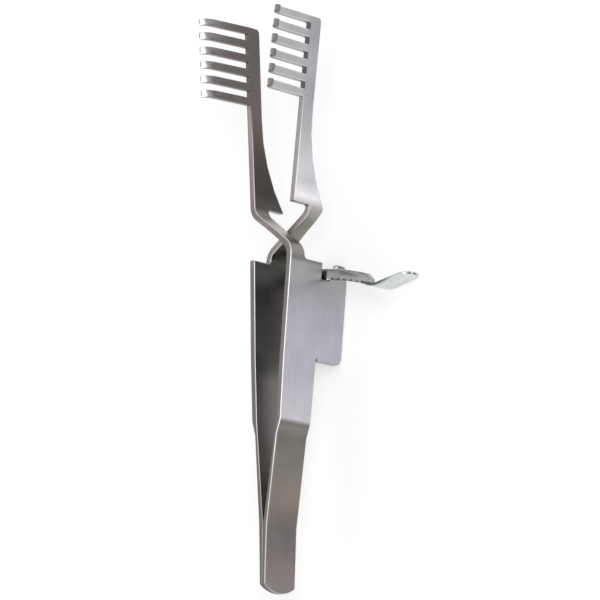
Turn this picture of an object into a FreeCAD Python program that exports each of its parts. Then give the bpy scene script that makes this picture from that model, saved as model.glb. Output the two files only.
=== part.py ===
import FreeCAD, Part
import math
import os

import Sketcher
from FreeCAD import Vector

# Self retaining skin retractor of the cross-action kind: two sheet-steel arms joined at the heel, which
# cross below the jaws, so that squeezing the grips opens the two combs. A toothed bar, riveted to the
# far arm, passes through a notch in the near arm's wing and holds the jaws open.
#
# Every piece is drawn standing: X is the way the jaws open, Y runs across the width of the arms from
# the teeth (-Y) to the wings (+Y), Z runs from the heel's end up to the combs. One placement then lays
# the whole instrument on the straight edges of its wings, teeth up.

DIMENSIONS = [
    ("overall_length", 105.0, "heel end to the top of the combs"),
    ("heel_joined", 12.25, "length over which the two arms are joined"),
    ("heel_width", 8.1, "width of the arms from the heel to the crease"),
    ("heel_sheet", 0.93, "thickness of one arm where the joined heel ends"),
    ("heel_end_sheet", 0.58, "thickness of one arm at the heel's ground end"),
    ("heel_corner", 1.3, "height of the heel's rounded end at its sides"),
    ("leaf_length", 16.35, "length of the ground spring leaf"),
    ("leaf_sheet", 0.65, "thickness of the spring leaf at its upper end"),
    ("facet_length", 2.6, "length of the facet between the spring leaf and the crease"),
    ("crease_gap", 2.31, "half the gap between the arms at the crease"),
    ("arm_sheet", 1.15, "thickness of the stiff part of an arm"),
    ("grip_length", 29.8, "length of the grip, from the crease to the shoulder"),
    ("grip_width", 8.63, "width of the grips and of the jaw roots"),
    ("grip_gap", 3.91, "half the gap between the grips at the shoulder"),
    ("neck_height", 9.9, "height from the shoulder to the square lower end of the jaws"),
    ("foot_rise", 1.37, "inside corner of the lower bend above the shoulder"),
    ("head_drop", 0.96, "inside corner of the upper bend below the jaw's lower end"),
    ("bend_radius", 2.4, "inside radius of the two bends of an arm"),
    ("neck_split", 0.55, "gap between the two necks where they cross"),
    ("neck_corner", 0.6, "radius in the corners beside the neck"),
    ("neck_inset", 0.43, "how far the outer edge of a neck is hollowed"),
    ("near_hollow", 4.3, "height of the near neck's hollow above the shoulder"),
    ("near_hollow_reach", 3.0, "half the height of the near neck's hollow"),
    ("far_plain", 0.8, "plain length of the far jaw's back edge below its lower end"),
    ("far_hollow", 1.4, "height of the far neck's hollow below that plain length"),
    ("far_hollow_reach", 6.2, "height over which the far neck widens below its hollow"),
    ("jaw_gap", 4.26, "half the gap between the jaws at their lower end"),
    ("tip_gap", 7.15, "half the gap between the jaws at the top of the combs"),
    ("jaw_back", 3.55, "back edge of a jaw at its lower end"),
    ("flare_length", 17.1, "height over which the jaw's back edge flares"),
    ("flare_radius", 29.0, "radius of the flare of the jaw's back edge"),
    ("spine_width", 2.75, "width of the comb's spine"),
    ("spine_corner", 0.8, "radius of the spine's top corner"),
    ("tooth_count", 6, "teeth on each comb"),
    ("tooth_pitch", 2.725, "spacing of the teeth"),
    ("top_tooth", 1.34, "height of the uppermost tooth"),
    ("slot_width", 1.26, "gap between two teeth"),
    ("tooth_straight", 8.6, "straight length of a tooth, from the root of the slots"),
    ("tooth_lean", 0.69, "how far a tooth leans outwards over its straight length"),
    ("tooth_curl", 2.02, "inside radius of a tooth's curled tip"),
    ("tip_rise", 1.05, "how far the curl carries the tip's outer face outwards"),
    ("wing_edge", 11.1, "edge of the wings, which the instrument lies on"),
    ("wing_length", 18.3, "length of the wings"),
    ("wing_over", 0.2, "how far the wings stand above the shoulder"),
    ("wing_corner", 1.5, "radius of the wings' outer corners"),
    ("relief_width", 0.5, "width of the relief nick under a wing"),
    ("relief_depth", 0.6, "depth of the relief nick under a wing"),
    ("notch_depth", 3.17, "depth of the notch that the bar lies in, below the shoulder"),
    ("notch_gap", 0.20, "gap between the bar and the outer edge of the notch's floor"),
    ("bar_front", 4.9, "front face of the ratchet bar"),
    ("bar_width", 1.5, "thickness of the ratchet bar across the notch"),
    ("bar_side_gap", 1.85, "gap between the bar and the outer wall of the notch"),
    ("bar_radius", 53.2, "radius of the bar's back"),
    ("bar_height", 2.0, "height of the bar's section"),
    ("bar_reach", 16.0, "where the bar ends, measured from the plane between the arms"),
    ("bar_chamfer", 1.15, "chamfer on the bar's outer end"),
    ("ratchet_depth", 0.6, "depth of the ratchet teeth"),
    ("ratchet_step", 1.52, "spacing of the ratchet teeth"),
    ("ratchet_count", 9, "ratchet teeth under the bar"),
    ("ratchet_land", 0.4, "plain length between the thumb plate and the outermost ratchet tooth"),
    ("pivot_out", 2.75, "place of the bar's rivet, measured from the plane between the arms"),
    ("rivet_radius", 0.6, "radius of the rivet's shank"),
    ("rivet_head", 1.0, "radius of the rivet's heads"),
    ("rivet_rise", 0.4, "height of a rivet head"),
    ("bar_bore_gap", 0.05, "running clearance between the rivet and the bar's bore"),
    ("bar_end_gap", 0.05, "side clearance of the bar between the rivet head and the ear"),
    ("ear_reach", 1.1, "how far the ear stands past the rivet's centre"),
    ("thumb_sheet", 0.5, "thickness of the thumb plate"),
    ("thumb_width", 5.0, "width of the thumb plate"),
    ("thumb_seat", 1.1, "length of the thumb plate under the bar's end"),
    ("thumb_dip_radius", 5.1, "radius of the thumb plate's dip"),
    ("thumb_dip", 3.8, "length of the dip beyond the bar's end"),
    ("thumb_dip_drop", 0.36, "how far the dip's outer end lies below its start"),
    ("thumb_slope", 4.6, "length of the slope after the dip"),
    ("thumb_lift", 0.97, "rise of the thumb plate over its slope"),
    ("thumb_crown", 1.75, "length of the crown"),
    ("thumb_tip_rise", 0.14, "height of the thumb plate's tip above the crown's start"),
    ("thumb_crown_radius", 6.0, "radius of the thumb plate's crown"),
    ("thumb_tip_radius", 2.4, "radius of the tip's corners"),
]

doc = FreeCAD.newDocument("Retractor")
sheet = doc.addObject("Spreadsheet::Sheet", "Sizes")
for row, (alias, value, note) in enumerate(DIMENSIONS, start=1):
    sheet.set(f"A{row}", note)
    sheet.set(f"B{row}", str(value))
    sheet.setAlias(f"B{row}", alias)
doc.recompute()


class Size:
    """A length worked out from the sheet: its value, and the expression that gives it."""

    def __init__(self, value, text):
        self.value = value
        self.text = text

    def joined(self, sign, other, swapped=False):
        other = other if isinstance(other, Size) else Size(other, repr(other))
        left, right = (other, self) if swapped else (self, other)
        worked_out = {
            "+": lambda: left.value + right.value,
            "-": lambda: left.value - right.value,
            "*": lambda: left.value * right.value,
            "/": lambda: left.value / right.value,
        }[sign]()
        return Size(worked_out, f"({left.text} {sign} {right.text})")

    def __add__(self, other):
        return self.joined("+", other)

    def __sub__(self, other):
        return self.joined("-", other)

    def __mul__(self, other):
        return self.joined("*", other)

    def __truediv__(self, other):
        return self.joined("/", other)

    def __radd__(self, other):
        return self.joined("+", other, swapped=True)

    def __rsub__(self, other):
        return self.joined("-", other, swapped=True)

    def __rmul__(self, other):
        return self.joined("*", other, swapped=True)

    def __neg__(self):
        return Size(-self.value, f"(0 - {self.text})")

    def root(self):
        return Size(math.sqrt(self.value), f"sqrt({self.text})")


class Sizes:
    """The sheet's cells by name."""


cells = Sizes()
for alias, value, note in DIMENSIONS:
    setattr(cells, alias, Size(value, f"Sizes.{alias}"))

ZERO = Size(0.0, "0")
CLEAR = Size(2.0, "2")          # how far a cut runs past the metal
HAIR = 1e-6


def new_body(label):
    body = doc.addObject("PartDesign::Body", label)
    body.Label = label
    return body


def origin_feature(body, role):
    return next(feature for feature in body.Origin.OriginFeatures if feature.Role == role)


def new_sketch(body, plane, name, lift=None, centre=None):
    """Sketch on an origin plane; lift moves it along the plane's normal, centre up the plane."""
    sketch = body.newObject("Sketcher::SketchObject", name)
    sketch.AttachmentSupport = [(origin_feature(body, plane), "")]
    sketch.MapMode = "FlatFace"
    if lift is not None:
        sketch.AttachmentOffset = FreeCAD.Placement(Vector(0, 0, lift.value), FreeCAD.Rotation())
        sketch.setExpression("AttachmentOffset.Base.z", lift.text)
    if centre is not None:
        sketch.AttachmentOffset = FreeCAD.Placement(Vector(0, centre.value, 0), FreeCAD.Rotation())
        sketch.setExpression("AttachmentOffset.Base.y", centre.text)
    return sketch


def bind(sketch, constraint, size):
    index = sketch.addConstraint(constraint)
    sketch.setExpression(f"Constraints[{index}]", size.text)


def place_point(sketch, geometry, end, across, up):
    """Fixes one end of an edge. A coordinate that is a plain number only says where it starts."""
    for kind, axis, size in (("DistanceX", -2, across), ("DistanceY", -1, up)):
        if not isinstance(size, Size):
            continue
        if abs(size.value) < HAIR:
            sketch.addConstraint(Sketcher.Constraint("PointOnObject", geometry, end, axis))
        else:
            bind(sketch, Sketcher.Constraint(kind, -1, 1, geometry, end, size.value), size)


def number(size):
    return size.value if isinstance(size, Size) else size


def arc_between(start, end, radius, turns_left):
    """The shorter arc from start to end, with its centre to the left or the right of the way."""
    chord = end - start
    middle = (start + end) * 0.5
    rise = math.sqrt(max(radius * radius - chord.Length * chord.Length / 4, 0.0))
    left = Vector(-chord.y, chord.x, 0).normalize()
    centre = middle + left * (rise if turns_left else -rise)
    first, last = (start, end) if turns_left else (end, start)
    angles = [math.atan2(point.y - centre.y, point.x - centre.x) for point in (first, last)]
    circle = Part.Circle(centre, Vector(0, 0, 1), radius)
    return Part.ArcOfCircle(circle, angles[0], angles[1])


def draw_outline(sketch, corners):
    """Closed outline. A corner is (across, up), or (across, up, radius, side) where an arc leads to
    the next corner and turns to that side. Returns the number of the first edge."""
    places = [Vector(number(corner[0]), number(corner[1]), 0) for corner in corners]
    edges = []
    for index, corner in enumerate(corners):
        start, end = places[index], places[(index + 1) % len(corners)]
        if len(corner) == 2:
            edges.append((sketch.addGeometry(Part.LineSegment(start, end)), 1, 2))
            continue
        radius, side = corner[2], corner[3]
        turns_left = side == "left"
        geometry = sketch.addGeometry(arc_between(start, end, radius.value, turns_left))
        edges.append((geometry, 1, 2) if turns_left else (geometry, 2, 1))
        bind(sketch, Sketcher.Constraint("Radius", geometry, radius.value), radius)
    for index, corner in enumerate(corners):
        geometry, start_end, _ = edges[index]
        before, _, before_end = edges[index - 1]
        sketch.addConstraint(Sketcher.Constraint("Coincident", geometry, start_end, before, before_end))
        place_point(sketch, geometry, start_end, corner[0], corner[1])
    return edges[0][0]


def draw_circle(sketch, across, up, radius):
    circle = Part.Circle(Vector(across.value, up.value, 0), Vector(0, 0, 1), radius.value)
    geometry = sketch.addGeometry(circle)
    bind(sketch, Sketcher.Constraint("Radius", geometry, radius.value), radius)
    place_point(sketch, geometry, 3, across, up)


def pad(body, sketch, name, length):
    feature = body.newObject("PartDesign::Pad", name)
    feature.Profile = sketch
    feature.Length = length.value
    feature.setExpression("Length", length.text)
    doc.recompute()
    return feature


def cut_through(body, sketch, name):
    """Cuts both ways through the whole body, and makes sure that metal went."""
    before = body.Shape.Volume
    feature = body.newObject("PartDesign::Pocket", name)
    feature.Profile = sketch
    feature.Type = "ThroughAll"
    feature.SideType = "Symmetric"
    doc.recompute()
    if body.Shape.Volume >= before - HAIR:
        raise RuntimeError(f"{name} cuts nothing")
    return feature


def round_edges(body, name, edges, radius):
    base = body.Tip
    feature = body.newObject("PartDesign::Fillet", name)
    feature.Base = (base, edges)
    feature.Radius = radius.value
    feature.setExpression("Radius", radius.text)
    doc.recompute()
    return feature


def edges_where(shape, wanted):
    return [f"Edge{index}" for index, edge in enumerate(shape.Edges, start=1) if wanted(edge)]


def edges_across(shape, places):
    """Straight edges along the width that pass through one of the places (X, Z)."""

    def wanted(edge):
        ends = [vertex.Point for vertex in edge.Vertexes]
        return len(ends) == 2 and any(
            all(abs(end.x - place.x) < 1e-4 and abs(end.z - place.y) < 1e-4 for end in ends)
            for place in places
        )

    return edges_where(shape, wanted)


# Places that several pieces share.

leaf_end = cells.heel_joined + cells.leaf_length
crease = leaf_end + cells.facet_length
grip_top = crease + cells.grip_length
jaw_bottom = grip_top + cells.neck_height
wing_top = grip_top + cells.wing_over
wing_bottom = wing_top - cells.wing_length
notch_floor = grip_top - cells.notch_depth
half_grip = cells.grip_width / 2
half_heel = cells.heel_width / 2
leaf_slope = cells.crease_gap / (crease - cells.heel_joined)
leaf_top_in = leaf_slope * cells.leaf_length
leaf_top_out = leaf_top_in + cells.leaf_sheet
grip_slope = (cells.grip_gap - cells.crease_gap) / cells.grip_length
jaw_slope = (cells.tip_gap - cells.jaw_gap) / (cells.overall_length - jaw_bottom)
jaw_sheet_level = cells.arm_sheet * (jaw_slope * jaw_slope + 1).root()
grip_sheet_level = cells.arm_sheet * (grip_slope * grip_slope + 1).root()
spine_back = cells.spine_width - half_grip
comb_bottom = cells.overall_length - cells.top_tooth - cells.tooth_pitch * (cells.tooth_count - 1)
bar_back = cells.bar_front + cells.bar_width
bar_inside = cells.bar_radius - cells.bar_height
ear_front = bar_back + cells.bar_end_gap
ear_back = ear_front + cells.arm_sheet
notch_outer = bar_back + cells.bar_side_gap
notch_out = cells.grip_gap - grip_slope * cells.notch_depth + grip_sheet_level
bar_centre = notch_floor + cells.notch_gap - (bar_inside * bar_inside - notch_out * notch_out).root()
thumb_reach = cells.bar_reach + cells.thumb_dip + cells.thumb_slope + cells.thumb_crown


def bar_level(out, radius):
    """Height of a circle about the bar's centre at a distance out from the middle plane."""
    return bar_centre + (radius * radius - out * out).root()


pivot_up = bar_level(cells.pivot_out, bar_inside + cells.bar_height / 2)


def heel_half(label, side):
    """One arm's joined end: ground thinner towards a rounded end. The near arm's outside stays
    straight, so the seam between the two arms leans."""
    body = new_body(label)
    section = new_sketch(body, "XZ_Plane", f"{label}_section", lift=-half_heel)
    thinning = (cells.heel_sheet - cells.heel_end_sheet) / cells.heel_joined
    below = cells.heel_corner
    seam = thinning * (cells.heel_joined + below)
    outside = cells.heel_sheet if side > 0 else seam * 2 - cells.heel_sheet
    draw_outline(section, [
        (ZERO, cells.heel_joined),
        (side * cells.heel_sheet, cells.heel_joined),
        (outside, -below),
        (seam, -below),
    ])
    pad(body, section, f"{label}_tongue", cells.heel_width)
    end_radius = (half_heel * half_heel + cells.heel_corner * cells.heel_corner) / (cells.heel_corner * 2)
    end = new_sketch(body, "YZ_Plane", f"{label}_end")
    beside = half_heel + CLEAR
    draw_outline(end, [
        (-beside, -below - CLEAR),
        (-beside, cells.heel_corner),
        (-half_heel, cells.heel_corner, end_radius, "left"),
        (half_heel, cells.heel_corner),
        (beside, cells.heel_corner),
        (beside, -below - CLEAR),
    ])
    cut_through(body, end, f"{label}_end_cut")
    return body


def spring_leaf(label, side):
    """One arm's ground spring section, which bends when the grips are squeezed."""
    body = new_body(label)
    sketch = new_sketch(body, "XZ_Plane", f"{label}_section", lift=-half_heel)
    draw_outline(sketch, [
        (ZERO, cells.heel_joined),
        (side * cells.heel_sheet, cells.heel_joined),
        (side * leaf_top_out, leaf_end),
        (side * leaf_top_in, leaf_end),
    ])
    pad(body, sketch, f"{label}_strip", cells.heel_width)
    return body


def arm_section(body, label, side):
    """The bent sheet in side view: facet, grip, slanting neck and jaw. The inside faces are placed by
    size, and the outside faces lie one sheet thickness away from them."""
    sketch = new_sketch(body, "XZ_Plane", f"{label}_section", lift=-cells.wing_edge)
    neck_foot = grip_top + cells.foot_rise
    neck_head = jaw_bottom - cells.head_drop
    foot_in = cells.grip_gap + grip_slope * cells.foot_rise
    head_in = cells.jaw_gap - jaw_slope * cells.head_drop
    thick = cells.arm_sheet.value
    first = draw_outline(sketch, [
        (side * leaf_top_in, leaf_end),
        (side * cells.crease_gap, crease),
        (side * foot_in, neck_foot),
        (side * (-head_in.value - thick), neck_head.value - thick / 2),
        (side * (-cells.tip_gap.value - thick), cells.overall_length),
        (-side * cells.tip_gap, cells.overall_length),
        (-side * head_in, neck_head),
        (side * (foot_in.value + thick), neck_foot.value + thick / 2),
        (side * (cells.crease_gap.value + thick), crease),
        (side * leaf_top_out, leaf_end),
    ])
    grip_inside, neck_inside, jaw_outside = first + 1, first + 2, first + 3
    jaw_inside, neck_outside, grip_outside = first + 5, first + 6, first + 7
    for face, opposite in (
        (grip_inside, grip_outside), (neck_inside, neck_outside), (jaw_outside, jaw_inside),
    ):
        sketch.addConstraint(Sketcher.Constraint("Parallel", face, opposite))
    for corner_edge, face in (
        (grip_outside, grip_inside), (neck_outside, neck_inside), (jaw_outside, jaw_inside),
    ):
        bind(sketch, Sketcher.Constraint("Distance", corner_edge, 2, face, thick), cells.arm_sheet)
    doc.recompute()
    bends = {
        "inside": (sketch.Geometry[neck_inside].StartPoint, sketch.Geometry[neck_outside].StartPoint),
        "outside": (sketch.Geometry[neck_inside].EndPoint, sketch.Geometry[neck_outside].EndPoint),
    }
    return sketch, bends


def wing_and_notch(notch_wall):
    """Corners of the grip's back edge from the notch round to the wing's top, going outwards."""
    beyond = cells.wing_edge + CLEAR
    return [
        (half_grip, notch_floor),
        (notch_wall, notch_floor),
        (notch_wall, wing_top),
        (cells.wing_edge - cells.wing_corner, wing_top, cells.wing_corner, "right"),
        (cells.wing_edge, wing_top - cells.wing_corner),
        (beyond, wing_top - cells.wing_corner),
    ]


def spine_and_flare():
    """Corners from above the comb down the back edge of the spine to the flare of the jaw."""
    beyond = cells.wing_edge + CLEAR
    top = cells.overall_length
    return [
        (beyond, top + CLEAR),
        (spine_back - cells.spine_corner, top + CLEAR),
        (spine_back - cells.spine_corner, top, cells.spine_corner, "right"),
        (spine_back, top - cells.spine_corner),
        (spine_back, jaw_bottom + cells.flare_length, cells.flare_radius, "left"),
    ]


def hollow_radius(reach, inset):
    """Radius of an arc that comes in by an inset over a reach and ends upright."""
    return (reach * reach + inset * inset) / (inset * 2)


def stiff_arm(label, side):
    """Grip, wing, neck, jaw and comb, cut from one blank and bent. The near arm (side 1) crosses on
    the teeth's side, the far arm (side -1) on the wings' side."""
    body = new_body(label)
    section, bends = arm_section(body, label, side)
    pad(body, section, f"{label}_sheet", cells.wing_edge + half_grip)
    inside = edges_across(body.Shape, bends["inside"])
    round_edges(body, f"{label}_inside_bends", inside, cells.bend_radius)
    outside = edges_across(body.Shape, bends["outside"])
    round_edges(body, f"{label}_outside_bends", outside, cells.bend_radius + cells.arm_sheet)

    beyond = cells.wing_edge + CLEAR
    before = -half_grip - CLEAR
    low = leaf_end - CLEAR
    corner = cells.neck_corner
    back = new_sketch(body, "YZ_Plane", f"{label}_back_edge")
    front = new_sketch(body, "YZ_Plane", f"{label}_front_edge")
    if side > 0:
        inner = -cells.neck_split
        draw_outline(back, spine_and_flare() + [
            (cells.jaw_back, jaw_bottom),
            (inner + corner, jaw_bottom, corner, "left"),
            (inner, jaw_bottom - corner),
            (inner, grip_top + corner, corner, "left"),
            (inner + corner, grip_top),
            (half_grip, grip_top),
        ] + wing_and_notch(notch_outer))
        middle = grip_top + cells.near_hollow
        reach = cells.near_hollow_reach
        radius = hollow_radius(reach, cells.neck_inset)
        draw_outline(front, [
            (before, middle + reach),
            (before, middle - reach),
            (-half_grip, middle - reach, radius, "left"),
            (cells.neck_inset - half_grip, middle, radius, "left"),
            (-half_grip, middle + reach),
        ])
    else:
        narrow = cells.jaw_back - cells.neck_inset
        plain = jaw_bottom - cells.far_plain
        middle = plain - cells.far_hollow
        reach = cells.far_hollow_reach
        draw_outline(back, spine_and_flare() + [
            (cells.jaw_back, jaw_bottom),
            (cells.jaw_back, plain, hollow_radius(cells.far_hollow, cells.neck_inset), "left"),
            (narrow, middle, hollow_radius(reach, half_grip - narrow), "left"),
            (half_grip, middle - reach),
        ] + wing_and_notch(ear_front))
        draw_outline(front, [
            (before, jaw_bottom),
            (before, grip_top),
            (-corner, grip_top, corner, "left"),
            (ZERO, grip_top + corner),
            (ZERO, jaw_bottom - corner, corner, "left"),
            (-corner, jaw_bottom),
        ])
    cut_through(body, back, f"{label}_back_cut")
    cut_through(body, front, f"{label}_front_cut")

    grip = new_sketch(body, "YZ_Plane", f"{label}_grip_taper")
    draw_outline(grip, [
        (before, low),
        (-half_heel, low),
        (-half_heel, crease),
        (-half_grip, wing_bottom),
        (before, wing_bottom),
    ])
    wing = new_sketch(body, "YZ_Plane", f"{label}_under_wing")
    draw_outline(wing, [
        (half_heel, low),
        (beyond, low),
        (beyond, wing_bottom + cells.wing_corner),
        (cells.wing_edge, wing_bottom + cells.wing_corner, cells.wing_corner, "right"),
        (cells.wing_edge - cells.wing_corner, wing_bottom),
        (half_grip + cells.relief_width, wing_bottom),
        (half_grip + cells.relief_width, wing_bottom + cells.relief_depth),
        (half_grip, wing_bottom + cells.relief_depth),
        (half_grip, wing_bottom),
        (half_heel, crease),
    ])
    cut_through(body, grip, f"{label}_taper_cut")
    cut_through(body, wing, f"{label}_wing_cut")
    return body


lean_length = (cells.tooth_straight * cells.tooth_straight + cells.tooth_lean * cells.tooth_lean).root()
lean_sine = cells.tooth_lean / lean_length
lean_cosine = cells.tooth_straight / lean_length
curl_cosine = lean_cosine - cells.tip_rise / cells.tooth_curl
curl_sine = (1 - curl_cosine * curl_cosine).root()
outer_curl = cells.tooth_curl
inner_curl = outer_curl + jaw_sheet_level
tooth_end = cells.tooth_straight + inner_curl * (curl_sine - lean_sine)


def add_comb(body, label, side):
    """Teeth that stand forward from the spine in the plane of the jaw, with tips curled outwards."""
    jaw_side = -side
    inner = cells.jaw_gap + jaw_slope * (comb_bottom - jaw_bottom)
    outer = inner + jaw_sheet_level
    straight = -half_grip - cells.tooth_straight
    forward = outer_curl * (curl_sine - lean_sine)
    spine_inside = -half_grip + cells.spine_width / 2
    comb = new_sketch(body, "XY_Plane", f"{label}_teeth", lift=comb_bottom)
    outward, inward = ("right", "left") if jaw_side < 0 else ("left", "right")
    outer_lean = outer + cells.tooth_lean
    inner_lean = inner + cells.tooth_lean
    draw_outline(comb, [
        (jaw_side * inner, spine_inside),
        (jaw_side * outer, spine_inside),
        (jaw_side * outer, -half_grip),
        (jaw_side * outer_lean, straight, outer_curl, outward),
        (jaw_side * (outer_lean + cells.tip_rise), straight - forward),
        (
            jaw_side * (inner_lean + inner_curl * (lean_cosine - curl_cosine)),
            -half_grip - tooth_end, inner_curl, inward,
        ),
        (jaw_side * inner_lean, straight),
        (jaw_side * inner, -half_grip),
    ])
    block = pad(body, comb, f"{label}_teeth_block", cells.overall_length - comb_bottom)
    block.UseCustomVector = True
    block.Direction = Vector(jaw_side * jaw_slope.value, 0, 1)
    block.setExpression("Direction.x", (jaw_side * jaw_slope).text)
    block.AlongSketchNormal = True
    doc.recompute()

    slot = new_sketch(body, "YZ_Plane", f"{label}_slot")
    slot_top = cells.overall_length - cells.top_tooth
    slot_bottom = slot_top - cells.slot_width
    tip = -half_grip - tooth_end - CLEAR
    draw_outline(slot, [
        (tip, slot_bottom), (-half_grip, slot_bottom), (-half_grip, slot_top), (tip, slot_top),
    ])
    slot_cut = cut_through(body, slot, f"{label}_slot_cut")
    before = body.Shape.Volume
    slots = body.newObject("PartDesign::LinearPattern", f"{label}_slots")
    slots.Originals = [slot_cut]
    slots.Direction = (origin_feature(body, "Z_Axis"), [""])
    slots.Reversed = True
    slots.Mode = "Spacing"
    slots.Offset = cells.tooth_pitch.value
    slots.setExpression("Offset", cells.tooth_pitch.text)
    slots.setExpression("Occurrences", (cells.tooth_count - 1).text)
    body.Tip = slots
    doc.recompute()
    if body.Shape.Volume >= before - HAIR:
        raise RuntimeError(f"{label} has one slot only")


def add_ear(body, label):
    """The far arm's notch tongue, folded inwards: it carries the bar's rivet."""
    sheet_middle = cells.grip_gap - grip_slope * cells.notch_depth + cells.arm_sheet / 2
    ear = new_sketch(body, "XZ_Plane", f"{label}_ear", lift=-ear_back)
    reach = cells.pivot_out - cells.ear_reach
    round_off = cells.ear_reach
    draw_outline(ear, [
        (-sheet_middle, notch_floor),
        (-(reach + round_off), notch_floor, round_off, "left"),
        (-reach, notch_floor + round_off),
        (-reach, wing_top - round_off, round_off, "left"),
        (-(reach + round_off), wing_top),
        (-sheet_middle, wing_top),
    ])
    pad(body, ear, f"{label}_ear_plate", cells.arm_sheet)
    bore = new_sketch(body, "XZ_Plane", f"{label}_rivet_hole", lift=-ear_front)
    draw_circle(bore, -cells.pivot_out, pivot_up, cells.rivet_radius)
    hole = body.newObject("PartDesign::Pocket", f"{label}_rivet_bore")
    hole.Profile = bore
    hole.Length = cells.arm_sheet.value
    hole.setExpression("Length", cells.arm_sheet.text)
    before = body.Shape.Volume
    doc.recompute()
    if body.Shape.Volume >= before - HAIR:
        raise RuntimeError("the rivet hole cuts nothing")


def disc(body, name, radius, back, length):
    """Round pad about the bar's pivot, from the plane Y = back towards the teeth's side."""
    sketch = new_sketch(body, "XZ_Plane", f"{name}_circle", lift=-back)
    draw_circle(sketch, -cells.pivot_out, pivot_up, radius)
    return pad(body, sketch, name, length)


def bar_rivet(label):
    """Rivet with a head each side: it holds the bar against the ear."""
    body = new_body(label)
    head_face = cells.bar_front - cells.bar_end_gap
    disc(body, "shank", cells.rivet_radius, ear_back, ear_back - head_face)
    disc(body, "front_head", cells.rivet_head, head_face, cells.rivet_rise)
    disc(body, "back_head", cells.rivet_head, ear_back + cells.rivet_rise, cells.rivet_rise)
    return body


def toothed_bar(label):
    """Curved strip with saw teeth underneath, an eye round the rivet and a chamfered outer end."""
    body = new_body(label)
    blank = new_sketch(body, "XZ_Plane", f"{label}_side", lift=-bar_back)
    seat_start = cells.bar_reach - cells.thumb_seat
    seat_radius = bar_inside + cells.thumb_sheet
    chamfer_start = cells.bar_reach - cells.bar_chamfer
    chamfer_up = bar_level(chamfer_start, cells.bar_radius) - cells.bar_chamfer
    tail = -cells.pivot_out
    draw_outline(blank, [
        (tail, bar_level(cells.pivot_out, bar_inside), bar_inside, "right"),
        (seat_start, bar_level(seat_start, bar_inside)),
        (seat_start, bar_level(seat_start, seat_radius), seat_radius, "right"),
        (cells.bar_reach, bar_level(cells.bar_reach, seat_radius)),
        (cells.bar_reach, chamfer_up),
        (chamfer_start, bar_level(chamfer_start, cells.bar_radius), cells.bar_radius, "left"),
        (tail, bar_level(cells.pivot_out, cells.bar_radius)),
    ])
    pad(body, blank, f"{label}_blank", cells.bar_width)
    disc(body, f"{label}_eye", cells.bar_height / 2, bar_back, cells.bar_width)

    gap = new_sketch(body, "XZ_Plane", f"{label}_tooth_gap", centre=bar_centre)
    last = seat_start - cells.ratchet_land
    start = last - cells.ratchet_step
    gap_up = bar_level(last, bar_inside) - bar_centre
    start_up = bar_level(start, bar_inside) - bar_centre
    under = cells.ratchet_depth / 4
    draw_outline(gap, [
        (last, gap_up - under),
        (last, gap_up + cells.ratchet_depth),
        (start, start_up),
        (start, start_up - under),
    ])
    gap_cut = cut_through(body, gap, f"{label}_gap_cut")
    before = body.Shape.Volume
    teeth = body.newObject("PartDesign::PolarPattern", f"{label}_teeth")
    teeth.Originals = [gap_cut]
    teeth.Axis = (gap, ["N_Axis"])
    teeth.Mode = "Spacing"
    teeth.Offset = math.degrees((cells.ratchet_step / bar_inside).value)
    teeth.setExpression("Offset", f"{(cells.ratchet_step / bar_inside).text} * 1 rad")
    teeth.setExpression("Occurrences", cells.ratchet_count.text)
    body.Tip = teeth
    doc.recompute()
    if body.Shape.Volume >= before - HAIR:
        raise RuntimeError("the bar has one tooth gap only")

    eye = new_sketch(body, "XZ_Plane", f"{label}_eye_hole")
    draw_circle(eye, -cells.pivot_out, pivot_up, cells.rivet_radius + cells.bar_bore_gap)
    cut_through(body, eye, f"{label}_eye_bore")
    return body


def thumb_rest(label):
    """Thin plate brazed under the bar's end: it dips, rises and ends in a rounded tip."""
    body = new_body(label)
    middle = cells.bar_front + cells.bar_width / 2
    side_view = new_sketch(body, "XZ_Plane", f"{label}_side", lift=-(middle + cells.thumb_width / 2))
    seat_radius = bar_inside + cells.thumb_sheet
    seat_start = cells.bar_reach - cells.thumb_seat
    thick = cells.thumb_sheet
    rest_up = bar_level(cells.bar_reach, seat_radius)
    dip_end = cells.bar_reach + cells.thumb_dip
    dip_up = rest_up - cells.thumb_dip_drop
    crown_start = dip_end + cells.thumb_slope
    crown_up = dip_up + cells.thumb_lift
    tip_up = crown_up + cells.thumb_tip_rise
    draw_outline(side_view, [
        (seat_start, bar_level(seat_start, seat_radius)),
        (seat_start, bar_level(seat_start, bar_inside), bar_inside, "right"),
        (cells.bar_reach, bar_level(cells.bar_reach, bar_inside), cells.thumb_dip_radius + thick, "left"),
        (dip_end, dip_up - thick),
        (crown_start, crown_up - thick, cells.thumb_crown_radius - thick, "right"),
        (thumb_reach, tip_up - thick),
        (thumb_reach, tip_up, cells.thumb_crown_radius, "left"),
        (crown_start, crown_up),
        (dip_end, dip_up, cells.thumb_dip_radius, "right"),
        (cells.bar_reach, rest_up, seat_radius, "left"),
    ])
    pad(body, side_view, f"{label}_strip", cells.thumb_width)

    tip = new_sketch(body, "XY_Plane", f"{label}_tip")
    front = middle - cells.thumb_width / 2
    back = middle + cells.thumb_width / 2
    corner = cells.thumb_tip_radius
    past = thumb_reach + CLEAR
    draw_outline(tip, [
        (thumb_reach - corner, front, corner, "left"),
        (thumb_reach, front + corner),
        (past, front + corner),
        (past, front - CLEAR),
        (thumb_reach - corner, front - CLEAR),
    ])
    draw_outline(tip, [
        (thumb_reach - corner, back, corner, "right"),
        (thumb_reach, back - corner),
        (past, back - corner),
        (past, back + CLEAR),
        (thumb_reach - corner, back + CLEAR),
    ])
    cut_through(body, tip, f"{label}_tip_cut")
    return body


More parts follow.
